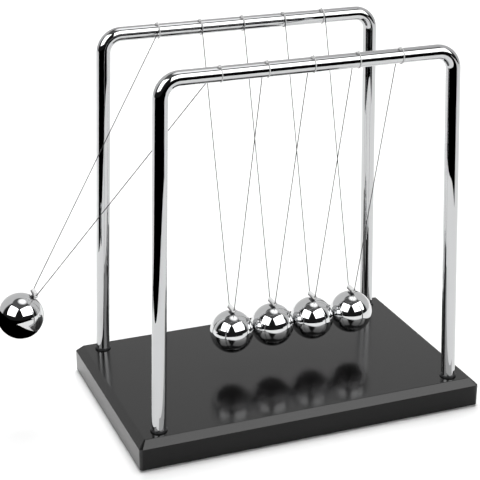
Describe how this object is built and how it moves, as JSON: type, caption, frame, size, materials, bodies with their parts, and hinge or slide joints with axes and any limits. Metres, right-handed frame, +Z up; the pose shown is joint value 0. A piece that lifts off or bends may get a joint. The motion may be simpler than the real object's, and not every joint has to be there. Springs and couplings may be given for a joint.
{
  "type": "newtons cradle",
  "caption": "Desk toy with a row of steel balls, each hung on a V of nylon line between two bent chrome tube frames on a chamfered black board.",
  "frame": {"origin": "centre of the resting face under the base", "axes": "+X along the rails, with the raised ball swung out towards -X; +Y to the rear frame; +Z up"},
  "size_m": [0.231, 0.114, 0.1892],
  "materials": {
    "lacquered_board": "gloss",
    "felt": "matte",
    "frame_chrome": "polished",
    "ball_chrome": "polished",
    "saddle_steel": "satin",
    "zinc_steel": "satin",
    "collar_plastic": "satin",
    "sleeve_nylon": "satin",
    "nylon_line": "satin"
  },
  "bodies": {
    "stand": {"base_board": "lacquered_board", "base_felt": "felt", "front_frame": "frame_chrome", "rear_frame": "frame_chrome", "leg_inserts": "zinc_steel", "frame_screws": "zinc_steel", "screw_washers": "zinc_steel", "collar_front_left": "collar_plastic", "collar_front_right": "collar_plastic", "collar_rear_left": "collar_plastic", "collar_rear_right": "collar_plastic", "front_loop_1": "nylon_line", "front_loop_2": "nylon_line", "front_loop_3": "nylon_line", "front_loop_4": "nylon_line", "front_loop_5": "nylon_line", "rear_loop_1": "nylon_line", "rear_loop_2": "nylon_line", "rear_loop_3": "nylon_line", "rear_loop_4": "nylon_line", "rear_loop_5": "nylon_line"},
    "pendulum_1": {"ball_1": "ball_chrome", "saddle_1": "saddle_steel", "sleeve_1": "sleeve_nylon", "line_1": "nylon_line"},
    "pendulum_2": {"ball_2": "ball_chrome", "saddle_2": "saddle_steel", "sleeve_2": "sleeve_nylon", "line_2": "nylon_line"},
    "pendulum_3": {"ball_3": "ball_chrome", "saddle_3": "saddle_steel", "sleeve_3": "sleeve_nylon", "line_3": "nylon_line"},
    "pendulum_4": {"ball_4": "ball_chrome", "saddle_4": "saddle_steel", "sleeve_4": "sleeve_nylon", "line_4": "nylon_line"},
    "pendulum_5": {"ball_5": "ball_chrome", "saddle_5": "saddle_steel", "sleeve_5": "sleeve_nylon", "line_5": "nylon_line"}
  },
  "joints": [
    {"name": "ball_1_swing", "type": "hinge", "parent": "stand", "child": "pendulum_1", "pos_m": [-0.0446, 0, 0.18497], "axis": [0, 1, 0], "range_deg": [-35, 45]},
    {"name": "ball_2_swing", "type": "hinge", "parent": "stand", "child": "pendulum_2", "pos_m": [-0.0223, 0, 0.18497], "axis": [0, 1, 0], "range_deg": [-0.04, 34]},
    {"name": "ball_3_swing", "type": "hinge", "parent": "stand", "child": "pendulum_3", "pos_m": [0, 0, 0.18497], "axis": [0, 1, 0], "range_deg": [-0.045, 0.045]},
    {"name": "ball_4_swing", "type": "hinge", "parent": "stand", "child": "pendulum_4", "pos_m": [0.0223, 0, 0.18497], "axis": [0, 1, 0], "range_deg": [-0.045, 0.045]},
    {"name": "ball_5_swing", "type": "hinge", "parent": "stand", "child": "pendulum_5", "pos_m": [0.0446, 0, 0.18497], "axis": [0, 1, 0], "range_deg": [-80, 0.04]}
  ]
}
